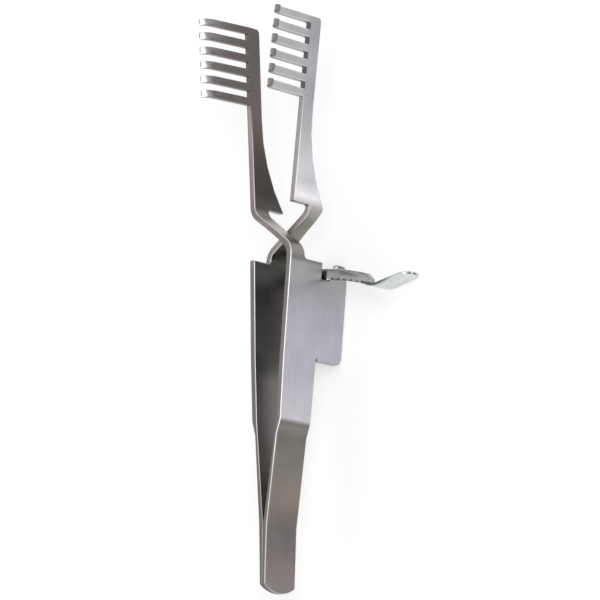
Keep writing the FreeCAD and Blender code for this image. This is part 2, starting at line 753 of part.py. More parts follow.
pieces = []
for label, leaf_label, arm_label, side in (
    ("near_heel", "near_spring_leaf", "near_arm", 1),
    ("far_heel", "far_spring_leaf", "far_arm", -1),
):
    pieces.append(heel_half(label, side))
    pieces.append(spring_leaf(leaf_label, side))
    arm = stiff_arm(arm_label, side)
    add_comb(arm, arm_label, side)
    if side < 0:
        add_ear(arm, arm_label)
    pieces.append(arm)
pieces.append(bar_rivet("bar_rivet"))
pieces.append(toothed_bar("ratchet_bar"))
pieces.append(thumb_rest("thumb_plate"))

# Laid on the wings' edges, with the origin under the middle of the outline.

comb_out = cells.tip_gap + jaw_sheet_level + cells.tooth_lean + cells.tip_rise
shift = {
    "x": (comb_out - thumb_reach) / 2,
    "y": -cells.overall_length / 2,
    "z": cells.wing_edge,
}
for piece in pieces:
    middle = Vector(shift["x"].value, shift["y"].value, shift["z"].value)
    piece.Placement = FreeCAD.Placement(middle, FreeCAD.Rotation(Vector(1, 0, 0), -90))
    for axis, size in shift.items():
        piece.setExpression(f"Placement.Base.{axis}", size.text)
doc.recompute()

faulty = [item.Label for item in doc.Objects if {"Invalid", "Error"} & set(item.State)]
if faulty:
    raise RuntimeError(f"these did not build: {faulty}")
os.makedirs("parts", exist_ok=True)
for piece in pieces:
    shape = piece.Shape
    if shape.isNull() or not shape.isValid() or len(shape.Solids) != 1:
        raise RuntimeError(f"{piece.Label} is not one valid solid")
    shape.exportStep(f"parts/{piece.Label}.step")
    box = shape.BoundBox
    print(
        f"{piece.Label:18s} {shape.Volume:9.2f} mm3  x {box.XMin:7.2f} {box.XMax:7.2f}"
        f"  y {box.YMin:7.2f} {box.YMax:7.2f}  z {box.ZMin:6.2f} {box.ZMax:6.2f}"
    )
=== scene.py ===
import math
from functools import partial

import bmesh
import bpy
import numpy as np
from mathutils import Matrix, Vector


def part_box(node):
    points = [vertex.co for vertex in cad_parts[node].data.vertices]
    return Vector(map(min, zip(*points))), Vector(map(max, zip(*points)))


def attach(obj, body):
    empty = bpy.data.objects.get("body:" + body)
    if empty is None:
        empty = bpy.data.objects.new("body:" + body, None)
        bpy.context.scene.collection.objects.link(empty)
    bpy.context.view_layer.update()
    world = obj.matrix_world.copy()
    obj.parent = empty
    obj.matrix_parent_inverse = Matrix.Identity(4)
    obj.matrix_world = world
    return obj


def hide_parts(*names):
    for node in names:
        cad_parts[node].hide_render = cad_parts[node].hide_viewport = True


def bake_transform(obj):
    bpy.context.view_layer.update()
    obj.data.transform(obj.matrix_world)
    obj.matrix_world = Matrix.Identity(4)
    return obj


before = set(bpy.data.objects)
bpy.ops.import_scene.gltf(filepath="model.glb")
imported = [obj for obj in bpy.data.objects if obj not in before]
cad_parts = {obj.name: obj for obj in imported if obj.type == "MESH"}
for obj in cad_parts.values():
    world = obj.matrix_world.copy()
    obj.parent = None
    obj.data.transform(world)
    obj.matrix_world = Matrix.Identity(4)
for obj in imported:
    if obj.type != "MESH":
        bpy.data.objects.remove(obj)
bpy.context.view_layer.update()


# The two arms: strips of stainless spring sheet, blanked in one piece with their six-tooth combs, ground
# thin over the spring, then bent twice at the neck so that they cross, with the tooth tips curled outwards.
# Everything is drawn standing, in millimetres: out from the plane between the arms, across, and up.

LENGTH = 105.0
WING_EDGE = 11.1
SHEET = 1.15
HALF_HEEL = 4.05
HALF_GRIP = 4.315
HEEL_JOINED = 12.25
LEAF_TOP = 28.6
CREASE = 31.2
SHOULDER = 61.0
JAW_FOOT = 70.9
WING_FOOT = 42.9
WING_TOP = 61.2
WING_ROUND = 1.5
NOTCH_FLOOR = 57.83
RELIEF = 0.4
NEAR_NOTCH_WALL = 8.25
WALL_FROM = 8.0
WALL_TO = 8.4
FAR_NOTCH_WALL = 6.45
NOTCH_STEP = [(6.5, NOTCH_FLOOR), (6.6, 58.25), (NEAR_NOTCH_WALL, 58.55)]
HEEL_SIDE = 1.3
HEEL_ROUND = 6.96
SPINE_BACK = -1.565
SPINE_ROUND = 0.8
JAW_BACK = 3.55
FLARE_TOP = 88.0
FLARE_RADIUS = 29.0
NECK_SPLIT = 0.55
NECK_ROUND = 0.6
NECK_INSET = 0.43
NECK_LOW = 62.3
NECK_HIGH = 68.3
FAR_NECK_LOW = 62.5
FAR_NECK_HIGH = 68.7
FAR_NECK_RADIUS = 16.7
FAR_PLAIN = 0.8
BEND_IN = 2.4
BEND_OUT = BEND_IN + SHEET
TEETH = 6
COMB_HEIGHT = 16.0
TOOTH_TOP = 1.34
TOOTH_PITCH = 2.725
TOOTH_SLOT = 1.26
TOOTH_STRAIGHT = 8.6
TOOTH_LEAN = 0.69
TOOTH_CURL = 2.02
CURL_SHEET = SHEET + 0.004
CURL_STRIP = 2.6
CURL_FROM = math.radians(4.59)
CURL_TO = math.radians(61.5)
TIP_NARROW = 0.08
TIP_THIN = 0.35
TIP_SHIFT = 0.06
TOOTH_DROOP = 0.22
RIM = 0.17
MERGE = 0.02
CORNER = 0.6

middle_x = (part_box("near_spring_leaf")[1].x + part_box("far_spring_leaf")[0].x) / 2


def on_tray(out, across, up):
    """A standing point, in millimetres, as it lies in the frame, in metres."""
    return Vector((middle_x + out / 1000, (up - LENGTH / 2) / 1000, (WING_EDGE - across) / 1000))


def arc_points(start, end, radius, turns_left, step=0.16):
    """Points of the shorter arc from start to end, without the end."""
    start, end = Vector(start), Vector(end)
    chord = end - start
    rise = math.sqrt(max(radius * radius - chord.length_squared / 4, 0))
    left = Vector((-chord.y, chord.x)).normalized()
    centre = (start + end) / 2 + left * (rise if turns_left else -rise)
    first = math.atan2(start.y - centre.y, start.x - centre.x)
    last = math.atan2(end.y - centre.y, end.x - centre.x)
    sweep = (last - first) % math.tau if turns_left else -((first - last) % math.tau)
    count = max(2, math.ceil(abs(sweep) / step))
    angles = [first + sweep * i / count for i in range(count)]
    return [(centre.x + radius * math.cos(a), centre.y + radius * math.sin(a)) for a in angles]


def traced(corners):
    """Closed outline from corners (across, up), or (across, up, radius, turns_left) where an arc follows."""
    points = []
    for index, corner in enumerate(corners):
        following = corners[(index + 1) % len(corners)]
        if len(corner) == 2:
            points.append(corner)
        else:
            points += arc_points(corner[:2], following[:2], corner[2], corner[3])
    return points


def bent_line(corners, step=math.radians(4.5)):
    """Line (out, up) with its corners rounded, as two lists: heights, and how far out."""
    ups, outs = [], []
    for index, corner in enumerate(corners):
        here = Vector(corner[:2])
        if len(corner) == 2:
            ups.append(here.y)
            outs.append(here.x)
            continue
        back = (Vector(corners[index - 1][:2]) - here).normalized()
        on = (Vector(corners[index + 1][:2]) - here).normalized()
        half = back.angle(on) / 2
        run = corner[2] / math.tan(half)
        centre = here + (back + on).normalized() * corner[2] / math.sin(half)
        first, last = here + back * run - centre, here + on * run - centre
        sweep = first.angle_signed(last)
        count = math.ceil(abs(sweep) / step)
        for i in range(count + 1):
            turned = Matrix.Rotation(-sweep * i / count, 2) @ first
            ups.append((centre + turned).y)
            outs.append((centre + turned).x)
    return ups, outs


def tooth_edges():
    """The comb's side of the outline, from the top corner down to the spine below the last tooth."""
    tip = -HALF_GRIP - TOOTH_STRAIGHT - CURL_STRIP
    corners = []
    for tooth in range(TEETH):
        root = LENGTH - TOOTH_TOP - (tooth - 1) * TOOTH_PITCH - TOOTH_SLOT if tooth else LENGTH
        foot = LENGTH - TOOTH_TOP - tooth * TOOTH_PITCH
        if tooth:
            corners.append((-HALF_GRIP, root))
        corners += [(tip, root), (tip, foot), (-HALF_GRIP, foot)]
    return corners


def comb_kind(across, up):
    """Tone group of a cut edge: 5 at a slot's end and a tooth's tip, painted in shade, 6 along a tooth, 7 on
    the near notch's outer wall, painted as a highlight, and on the far wing's top, 2 elsewhere."""
    strip = -HALF_GRIP - across
    if WALL_FROM < across < WALL_TO and up > NOTCH_FLOOR:
        return 7
    if strip > MERGE:
        return 5 if strip > TOOTH_STRAIGHT + CURL_STRIP - MERGE else 6
    return 5 if strip > -MERGE and up > LENGTH - TOOTH_TOP - (TEETH - 1) * TOOTH_PITCH else 2


def hollow(half):
    """Radius of an arc that is NECK_INSET deep over half its chord."""
    return (half * half + NECK_INSET * NECK_INSET) / (2 * NECK_INSET)


def wing_outline(notch_wall, notch_step=()):
    """The outline from the notch round the wing, down to the heel and up its other side to the grip."""
    return [
        (HALF_GRIP, NOTCH_FLOOR),
        *(notch_step or [(notch_wall, NOTCH_FLOOR)]),
        (notch_wall, WING_TOP),
        (WING_EDGE - WING_ROUND, WING_TOP, WING_ROUND, False),
        (WING_EDGE, WING_TOP - WING_ROUND),
        (WING_EDGE, WING_FOOT + WING_ROUND, WING_ROUND, False),
        (WING_EDGE - WING_ROUND, WING_FOOT),
        (HALF_GRIP + RELIEF, WING_FOOT),
        (HALF_GRIP + RELIEF, WING_FOOT + RELIEF),
        (HALF_GRIP, WING_FOOT + RELIEF),
        (HALF_GRIP, WING_FOOT),
        (HALF_HEEL, CREASE),
        (HALF_HEEL, HEEL_SIDE, HEEL_ROUND, False),
        (-HALF_HEEL, HEEL_SIDE),
        (-HALF_HEEL, CREASE),
        (-HALF_GRIP, WING_FOOT),
    ]


near_blank = traced(
    [(SPINE_BACK - SPINE_ROUND, LENGTH, SPINE_ROUND, False),
     (SPINE_BACK, LENGTH - SPINE_ROUND),
     (SPINE_BACK, FLARE_TOP, FLARE_RADIUS, True),
     (JAW_BACK, JAW_FOOT),
     (-NECK_SPLIT + NECK_ROUND, JAW_FOOT, NECK_ROUND, True),
     (-NECK_SPLIT, JAW_FOOT - NECK_ROUND),
     (-NECK_SPLIT, SHOULDER + NECK_ROUND, NECK_ROUND, True),
     (-NECK_SPLIT + NECK_ROUND, SHOULDER),
     (HALF_GRIP, SHOULDER)]
    + wing_outline(NEAR_NOTCH_WALL, NOTCH_STEP)
    + [(-HALF_GRIP, NECK_LOW, hollow((NECK_HIGH - NECK_LOW) / 2), True),
       (NECK_INSET - HALF_GRIP, (NECK_LOW + NECK_HIGH) / 2, hollow((NECK_HIGH - NECK_LOW) / 2), True),
       (-HALF_GRIP, NECK_HIGH)]
    + tooth_edges()[::-1]
)
far_blank = traced(
    [(SPINE_BACK - SPINE_ROUND, LENGTH, SPINE_ROUND, False),
     (SPINE_BACK, LENGTH - SPINE_ROUND),
     (SPINE_BACK, FLARE_TOP, FLARE_RADIUS, True),
     (JAW_BACK, JAW_FOOT),
     (JAW_BACK, JAW_FOOT - FAR_PLAIN, hollow(JAW_FOOT - FAR_PLAIN - FAR_NECK_HIGH), True),
     (JAW_BACK - NECK_INSET, FAR_NECK_HIGH, FAR_NECK_RADIUS, True),
     (HALF_GRIP, FAR_NECK_LOW)]
    + wing_outline(FAR_NOTCH_WALL)
    + [(-HALF_GRIP, SHOULDER),
       (-NECK_ROUND, SHOULDER, NECK_ROUND, True),
       (0.0, SHOULDER + NECK_ROUND),
       (0.0, JAW_FOOT - NECK_ROUND, NECK_ROUND, True),
       (-NECK_ROUND, JAW_FOOT),
       (-HALF_GRIP, JAW_FOOT)]
    + tooth_edges()[::-1]
)

inner_line = bent_line([
    (0.35, 0.0), (0.0, HEEL_JOINED), (2.31, CREASE),
    (3.984, 62.37, BEND_IN), (-5.280, 69.329, BEND_OUT), (-8.304, LENGTH),
])
outer_line = bent_line([
    (0.93, 0.0), (0.93, HEEL_JOINED), (2.643, LEAF_TOP), (3.462, CREASE),
    (5.164, 62.921, BEND_OUT), (-4.179, 69.94, BEND_IN), (-7.15, LENGTH),
])


def tooth_curl(strip, radius):
    """How far out and how far forward a face of a tooth is, at a length of its strip."""
    if strip <= TOOTH_STRAIGHT:
        return TOOTH_LEAN * max(strip, 0) / TOOTH_STRAIGHT, strip
    angle = CURL_FROM + (CURL_TO - CURL_FROM) * (strip - TOOTH_STRAIGHT) / CURL_STRIP
    return (TOOTH_LEAN + radius * (math.cos(CURL_FROM) - math.cos(angle)),
            TOOTH_STRAIGHT + radius * (math.sin(angle) - math.sin(CURL_FROM)))


def bent_place(side, across, up, layer):
    """Where a point of the flat blank lies once the strip is bent: layer 0 is the face between the
    grips, which is the outside of the jaw, and layer 1 the other face."""
    inner, outer = np.interp(up, *inner_line), np.interp(up, *outer_line)
    if up < HEEL_JOINED and side < 0:
        outer = 2 * inner - outer
        return on_tray(inner if layer == 0 else outer, across, up)
    strip = -HALF_GRIP - across
    if strip > 0 and up > LENGTH - COMB_HEIGHT:
        first_out, first_on = tooth_curl(strip, TOOTH_CURL)
        second_out, second_on = tooth_curl(strip, TOOTH_CURL + CURL_SHEET)
        first = Vector((inner - first_out, -HALF_GRIP - first_on))
        second = Vector((outer - second_out, -HALF_GRIP - second_on))
        close = TIP_NARROW * max(0.0, (strip - TOOTH_STRAIGHT) / CURL_STRIP)
        point = first.lerp(second, close * TIP_THIN if layer == 0 else 1 - close * TIP_THIN)
        tooth = min(TEETH - 1, max(0, round((LENGTH - TOOTH_TOP / 2 - up) / TOOTH_PITCH)))
        middle = LENGTH - TOOTH_TOP / 2 - TIP_SHIFT - tooth * TOOTH_PITCH
        up += (middle - up) * close - TOOTH_DROOP * strip / (TOOTH_STRAIGHT + CURL_STRIP)
        return on_tray(side * point.x, point.y, up)
    return on_tray(side * (inner if layer == 0 else outer), across, up)


def rim_kinds(bevelled, tone_group):
    """Names each strip of a broken rim after the wide face or the slot's end that it lies beside."""
    for face in bevelled:
        face[tone_group] = -1
    kinds = {}
    for face in bevelled:
        beside = {other[tone_group] for edge in face.edges for other in edge.link_faces}
        special = max(beside) if max(beside) in (5, 6) else 0
        kinds[face] = special or (3 if 0 in beside else 4 if 1 in beside else -1)
    for face in bevelled:
        near = {kinds[other] for edge in face.edges for other in edge.link_faces if other in kinds}
        if kinds[face] in (3, 4) and 5 in near:
            face[tone_group] = 5
        elif kinds[face] < 0:
            face[tone_group] = 3 if 3 in near else 4 if 4 in near else 2
        else:
            face[tone_group] = kinds[face] if kinds[face] != 6 else 4 if 4 in near else 3


def blanked(name, outlines, place, rim, cuts=(), strips=(),
            edge_kind=lambda across, up: 2, keen=lambda across, up: False):
    """Blanks the outlines, cuts them where they will bend, thickens them, bends them by place and breaks the
    rims. Tone groups, each with its steel and painted light: 0 the first face, 1 the second, 2 the cut edge,
    3 and 4 the rims beside them, 5 and up from edge_kind. Where keen says so, a rim stays sharp."""
    mesh = bmesh.new()
    tone_group = mesh.faces.layers.int.new("tone_group")
    for outline in outlines:
        mesh.faces.new([mesh.verts.new((0, across, up)) for across, up in outline])
    for axis, places in (((0, 0, 1), cuts), ((0, 1, 0), strips)):
        for at in places:
            bmesh.ops.bisect_plane(mesh, geom=mesh.verts[:] + mesh.edges[:] + mesh.faces[:], dist=MERGE,
                                   plane_co=Vector(axis) * at, plane_no=axis)
    bmesh.ops.remove_doubles(mesh, verts=mesh.verts, dist=MERGE)
    flat = set(mesh.faces)
    raised = bmesh.ops.extrude_face_region(mesh, geom=list(flat), use_keep_orig=True)["geom"]
    second = {item for item in raised if isinstance(item, bmesh.types.BMVert)}
    caps = {item for item in raised if isinstance(item, bmesh.types.BMFace)}
    for face in mesh.faces:
        middle = face.calc_center_median()
        face[tone_group] = 1 if face in caps else 0 if face in flat else edge_kind(middle.y, middle.z)
    blunt = [edge for edge in mesh.edges if not keen(*((edge.verts[0].co + edge.verts[1].co) / 2)[1:])]
    rims = [edge for edge in blunt if len({min(face[tone_group], 2) for face in edge.link_faces}) == 2]
    sides = [edge for edge in blunt if len(edge.link_faces) == 2
             and all(face[tone_group] > 1 for face in edge.link_faces)]
    for vert in mesh.verts:
        vert.co = place(vert.co.y, vert.co.z, 1 if vert in second else 0)
    bmesh.ops.recalc_face_normals(mesh, faces=mesh.faces)
    mesh.normal_update()
    corners = [edge for edge in sides if edge.calc_face_angle(0) > CORNER]
    done = bmesh.ops.bevel(mesh, geom=rims + corners, offset=rim / 1000, offset_type="OFFSET", segments=2,
                           profile=0.6, affect="EDGES", clamp_overlap=False, material=-1)
    rim_kinds(done["faces"], tone_group)
    for face in mesh.faces:
        face.material_index = face[tone_group]
        face.smooth = True
    data = bpy.data.meshes.new(name)
    mesh.to_mesh(data)
    mesh.free()
    piece = bpy.data.objects.new(name, data)
    bpy.context.scene.collection.objects.link(piece)
    return piece


def settled(piece, steels):
    """Gives a piece its steels, one for each tone group, painted highlights and shade among them, and the wide
    faces their own flat shading.
    """
    for steel in steels:
        piece.data.materials.append(steel)
    weigh = piece.modifiers.new("flat faces", "WEIGHTED_NORMAL")
    weigh.weight = 80
    weigh.keep_sharp = True
    made = bpy.data.meshes.new_from_object(piece.evaluated_get(bpy.context.evaluated_depsgraph_get()))
    piece.modifiers.clear()
    piece.data = made


def fill_ramp(ramp, stops):
    """Gives a colour ramp its stops, which are (position, colour, alpha)."""
    while len(ramp.color_ramp.elements) < len(stops):
        ramp.color_ramp.elements.new(0.5)
    for stop, (at, colour, part) in zip(ramp.color_ramp.elements, stops):
        stop.position = at
        stop.color = (*colour, part)


def brushed_steel(name, tones, roughness, lines=0.10, heights=()):
    """Satin steel, brushed along the instrument; tones are (share of the length, colour) pairs, which carry
    painted reflection and shade bands, and heights are (mm over the tray, colour, how much of it) where
    wings, tooth tips or slot ends differ, some of them painted highlights and shade."""
    steel = bpy.data.materials.new(name)
    steel.use_nodes = True
    nodes, links = steel.node_tree.nodes, steel.node_tree.links
    shader = nodes["Principled BSDF"]
    shader.inputs["Metallic"].default_value = 1.0
    place = nodes.new("ShaderNodeTexCoord")
    length = nodes.new("ShaderNodeSeparateXYZ")
    share = nodes.new("ShaderNodeMapRange")
    share.inputs["From Min"].default_value = -LENGTH / 2000
    share.inputs["From Max"].default_value = LENGTH / 2000
    ramp = nodes.new("ShaderNodeValToRGB")
    fill_ramp(ramp, [(at, colour, 1) for at, colour in tones])
    links.new(place.outputs["Object"], length.inputs[0])
    links.new(length.outputs["Y"], share.inputs["Value"])
    links.new(share.outputs[0], ramp.inputs[0])
    grain = nodes.new("ShaderNodeMapping")
    grain.inputs["Scale"].default_value = (900, 35, 5200)
    links.new(place.outputs["Object"], grain.inputs[0])
    scratch = nodes.new("ShaderNodeTexNoise")
    scratch.inputs["Scale"].default_value = 1.0
    scratch.inputs["Detail"].default_value = 5.0
    scratch.inputs["Roughness"].default_value = 0.62
    links.new(grain.outputs[0], scratch.inputs["Vector"])
    cloud = nodes.new("ShaderNodeTexNoise")
    cloud.inputs["Scale"].default_value = 170.0
    cloud.inputs["Detail"].default_value = 4.0
    links.new(place.outputs["Object"], cloud.inputs["Vector"])
    both = nodes.new("ShaderNodeMath")
    both.operation = "MULTIPLY_ADD"
    both.inputs[1].default_value = 1.3
    links.new(cloud.outputs[0], both.inputs[0])
    links.new(scratch.outputs[0], both.inputs[2])
    shade = nodes.new("ShaderNodeMapRange")
    shade.inputs["From Min"].default_value = 0.80
    shade.inputs["From Max"].default_value = 1.50
    shade.inputs["To Min"].default_value = 1 - lines
    shade.inputs["To Max"].default_value = 1 + lines
    links.new(both.outputs[0], shade.inputs["Value"])
    tone = ramp.outputs[0]
    if heights:
        low, high = heights[0][0], heights[-1][0]
        rise = nodes.new("ShaderNodeMapRange")
        rise.inputs["From Min"].default_value = low / 1000
        rise.inputs["From Max"].default_value = high / 1000
        layer = nodes.new("ShaderNodeValToRGB")
        fill_ramp(layer, [((height - low) / (high - low), colour, part) for height, colour, part in heights])
        mixed = nodes.new("ShaderNodeMix")
        mixed.data_type = "RGBA"
        links.new(length.outputs["Z"], rise.inputs["Value"])
        links.new(rise.outputs[0], layer.inputs[0])
        links.new(layer.outputs["Alpha"], mixed.inputs[0])
        links.new(tone, mixed.inputs[6])
        links.new(layer.outputs["Color"], mixed.inputs[7])
        tone = mixed.outputs[2]
    tinted = nodes.new("ShaderNodeVectorMath")
    tinted.operation = "SCALE"
    links.new(tone, tinted.inputs[0])
    links.new(shade.outputs[0], tinted.inputs["Scale"])
    links.new(tinted.outputs[0], shader.inputs["Base Color"])
    sheen = nodes.new("ShaderNodeMapRange")
    sheen.inputs["From Min"].default_value = 0.70
    sheen.inputs["From Max"].default_value = 1.60
    sheen.inputs["To Min"].default_value = roughness - 0.06
    sheen.inputs["To Max"].default_value = roughness + 0.08
    links.new(both.outputs[0], sheen.inputs["Value"])
    links.new(sheen.outputs[0], shader.inputs["Roughness"])
    bump = nodes.new("ShaderNodeBump")
    bump.inputs["Strength"].default_value = 0.12
    bump.inputs["Distance"].default_value = 0.00003
    links.new(scratch.outputs[0], bump.inputs["Height"])
    links.new(bump.outputs[0], shader.inputs["Normal"])
    return steel


# The curled tooth tips get a near-white painted highlight, and the far comb's hook ends painted shade.
TIP_HIGHLIGHT_TONE = (0.93, 0.92, 0.92)
EDGE_TONE = (0.21, 0.185, 0.185)
WING_EDGE_TONE = (0.38, 0.36, 0.37)
TOOTH_TONE = (0.445, 0.447, 0.437)
HOOK_SHADE_TONE = (0.20, 0.20, 0.185)
painted_tip_highlight = ((17.0, TIP_HIGHLIGHT_TONE, 0.0), (21.0, TIP_HIGHLIGHT_TONE, 0.04), (24.0, TIP_HIGHLIGHT_TONE, 0.13), (25.3, TIP_HIGHLIGHT_TONE, 0.19),
               (25.75, TIP_HIGHLIGHT_TONE, 0.22), (26.05, TIP_HIGHLIGHT_TONE, 0.9), (26.5, TIP_HIGHLIGHT_TONE, 1.0))
painted_hook_shade = ((24.9, HOOK_SHADE_TONE, 0.0), (25.5, HOOK_SHADE_TONE, 0.8), (26.5, HOOK_SHADE_TONE, 1.0))


def below_wing(colour, part):
    """Heights for the tone that a wing's edges and rims get, which ends where the grip begins."""
    return (0.0, colour, part), (11.5, colour, part), (13.5, colour, 0.0)


def even_tone(colour):
    return [(0.0, colour), (1.0, colour)]


# Both grip steels paint light into the colour along the length: dark bands of painted shade, bright bands of
# painted reflection, near white just above the jaws' feet.
grip_inside = brushed_steel("grip_inside_steel", [
    (0.0, (0.22, 0.20, 0.19)), (0.15, (0.36, 0.33, 0.32)), (0.20, (0.28, 0.265, 0.25)),
    (0.26, (0.20, 0.195, 0.185)), (0.34, (0.207, 0.19, 0.19)), (0.38, (0.21, 0.198, 0.198)),
    (0.425, (0.275, 0.265, 0.26)), (0.48, (0.21, 0.205, 0.198)), (0.515, (0.163, 0.16, 0.153)),
    (0.545, (0.118, 0.118, 0.112)), (0.575, (0.056, 0.056, 0.052)), (0.605, (0.12, 0.12, 0.11)),
    (0.628, (0.44, 0.44, 0.385)), (0.640, (0.345, 0.35, 0.31)), (0.656, (0.325, 0.315, 0.285)),
    (0.670, (0.39, 0.375, 0.36)), (0.680, (0.64, 0.63, 0.655)), (0.688, (0.86, 0.84, 0.87)),
    (0.698, (0.74, 0.725, 0.75)), (0.715, (0.60, 0.595, 0.63)), (0.733, (0.63, 0.625, 0.66)),
    (0.768, (0.565, 0.555, 0.59)), (0.803, (0.465, 0.46, 0.49)), (0.838, (0.41, 0.40, 0.43)),
    (0.873, (0.37, 0.36, 0.38)), (0.908, (0.40, 0.395, 0.42)), (1.0, (0.355, 0.345, 0.365)),
], 0.36, 0.12, ((15.3, TOOTH_TONE, 0.0), (17.0, TOOTH_TONE, 0.8), (26.3, TOOTH_TONE, 1.0)))
grip_outside = brushed_steel("grip_outside_steel", [
    (0.0, (0.225, 0.207, 0.20)), (0.05, (0.215, 0.18, 0.175)), (0.08, (0.175, 0.16, 0.157)),
    (0.11, (0.164, 0.152, 0.148)), (0.145, (0.215, 0.18, 0.16)), (0.18, (0.248, 0.22, 0.186)),
    (0.22, (0.203, 0.187, 0.157)), (0.27, (0.178, 0.168, 0.148)), (0.285, (0.232, 0.214, 0.195)),
    (0.2955, (0.19, 0.18, 0.165)), (0.299, (0.60, 0.585, 0.625)), (0.33, (0.54, 0.522, 0.567)),
    (0.39, (0.460, 0.465, 0.52)), (0.45, (0.445, 0.433, 0.495)), (0.50, (0.430, 0.424, 0.465)),
    (0.555, (0.385, 0.385, 0.395)), (0.572, (0.345, 0.345, 0.35)), (0.579, (0.185, 0.18, 0.173)),
    (0.586, (0.237, 0.235, 0.225)), (0.592, (0.285, 0.28, 0.262)), (0.600, (0.262, 0.25, 0.225)),
    (0.611, (0.165, 0.137, 0.122)), (0.629, (0.475, 0.45, 0.42)), (0.645, (0.39, 0.365, 0.34)),
    (0.660, (0.28, 0.265, 0.25)), (0.673, (0.105, 0.10, 0.095)), (0.688, (0.083, 0.075, 0.072)),
    (0.705, (0.060, 0.053, 0.050)), (0.740, (0.065, 0.057, 0.052)), (0.785, (0.098, 0.083, 0.075)),
    (0.835, (0.145, 0.123, 0.115)), (1.0, (0.125, 0.107, 0.107)),
], 0.36, 0.12, painted_tip_highlight)
# The cut edges' tones rise and fall along the length as painted reflection bands.
near_edge = brushed_steel("near_cut_edge_steel", [
    (0.0, (0.16, 0.145, 0.14)), (0.35, EDGE_TONE), (0.66, (0.22, 0.19, 0.19)),
    (0.74, (0.27, 0.235, 0.23)), (0.83, (0.36, 0.32, 0.315)), (1.0, (0.20, 0.175, 0.17)),
], 0.40, 0.07, below_wing(WING_EDGE_TONE, 0.8))
far_edge = brushed_steel("far_cut_edge_steel", [
    (0.0, (0.15, 0.135, 0.13)), (0.30, (0.17, 0.15, 0.15)), (0.56, (0.20, 0.175, 0.175)),
    (0.62, (0.29, 0.26, 0.245)), (0.70, (0.33, 0.295, 0.29)), (0.83, (0.41, 0.37, 0.37)),
    (1.0, (0.27, 0.25, 0.25)),
], 0.40, 0.07)
# The rims are one steel, painted lit and shaded: a painted highlight on the near outer rims over the grip,
# painted shade on the near inner rims and at the near comb.
near_inner_rim_shade = brushed_steel("near_inner_rim_painted_shade", [
    (0.0, (0.16, 0.15, 0.14)), (1.0, (0.20, 0.18, 0.18)),
], 0.34, 0.05)
near_outer_rim_light = brushed_steel("near_outer_rim_painted_light", [
    (0.0, (0.38, 0.355, 0.345)), (0.20, (0.44, 0.42, 0.41)), (0.30, (0.64, 0.62, 0.63)),
    (0.57, (0.66, 0.63, 0.63)), (0.62, (0.56, 0.52, 0.51)), (0.80, (0.46, 0.42, 0.41)),
    (0.842, (0.16, 0.14, 0.135)), (1.0, (0.15, 0.135, 0.13)),
], 0.28, 0.05, below_wing(WING_EDGE_TONE, 0.9) + painted_tip_highlight)
# The near comb's tooth flanks are painted in shade, and its slot ends and tooth tip ends carry painted shade.
near_flank = brushed_steel("near_tooth_flank_steel", even_tone((0.27, 0.235, 0.225)), 0.40, 0.07, painted_tip_highlight)
near_slot_end_shade = brushed_steel("near_slot_end_painted_shade", even_tone((0.17, 0.15, 0.145)), 0.40, 0.07)
# The near notch's outer wall is painted near white, a painted highlight.
notch_wall_highlight = brushed_steel("notch_wall_painted_highlight", even_tone((0.92, 0.91, 0.91)), 0.34, 0.05)
# Likewise on the far arm: a painted highlight on the inner rims, painted shade on the outer rims.
far_inner_rim_light = brushed_steel("far_inner_rim_painted_light", [
    (0.0, (0.20, 0.18, 0.18)), (0.12, (0.24, 0.22, 0.22)), (0.30, (0.46, 0.42, 0.42)),
    (0.56, (0.60, 0.56, 0.56)), (0.62, (0.50, 0.47, 0.45)), (0.70, (0.62, 0.60, 0.61)),
    (1.0, (0.60, 0.58, 0.59)),
], 0.28, 0.05, painted_hook_shade)
far_outer_rim_shade = brushed_steel("far_outer_rim_painted_shade", [
    (0.0, (0.18, 0.165, 0.16)), (1.0, (0.24, 0.22, 0.22)),
], 0.34, 0.05)
# The far comb's tooth flanks are painted lit, and its slot ends and tooth tip ends carry painted shade, darkest
# at the hooks.
far_flank = brushed_steel("far_tooth_flank_steel", even_tone((0.44, 0.42, 0.43)), 0.38, 0.07, painted_hook_shade)
far_slot_end_shade = brushed_steel("far_slot_end_painted_shade", even_tone((0.13, 0.122, 0.13)), 0.42, 0.10, painted_hook_shade)

leaf_cuts = list(np.linspace(HEEL_JOINED, LEAF_TOP, 13))
bend_cuts = sorted(set(inner_line[0] + outer_line[0] + leaf_cuts))[1:-1]
tooth_cuts = [-HALF_GRIP, -HALF_GRIP - TOOTH_STRAIGHT / 2]
tooth_cuts += [-HALF_GRIP - TOOTH_STRAIGHT - curled for curled in np.linspace(0, CURL_STRIP, 9)[:-1]]
near_steels = (grip_inside, grip_outside, near_edge, near_inner_rim_shade, near_outer_rim_light, near_slot_end_shade, near_flank, notch_wall_highlight)
far_steels = (grip_inside, grip_outside, far_edge, far_inner_rim_light, far_outer_rim_shade, far_slot_end_shade, far_flank, far_flank)
for name, blank, side, body, nodes, steels in (
    ("near_arm_strip", near_blank, 1, "near_arm_body",
     ("near_heel", "near_spring_leaf", "near_arm"), near_steels),
    ("far_arm_strip", far_blank, -1, "far_arm_body",
     ("far_heel", "far_spring_leaf", "far_arm"), far_steels),
):
    strip = blanked(name, [blank], partial(bent_place, side), RIM, bend_cuts, tooth_cuts, comb_kind)
    settled(strip, steels)
    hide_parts(*nodes)
    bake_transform(strip)


# The ear: a tongue of the far wing's sheet, folded in where the notch is, with a round end. It stands
# behind the ratchet bar and carries the rivet that the bar turns on.

EAR_FRONT = 6.45
EAR_BACK = 7.6
EAR_ROUND = 1.1
EAR_REACH = 1.65
EAR_FOLD = 4.3

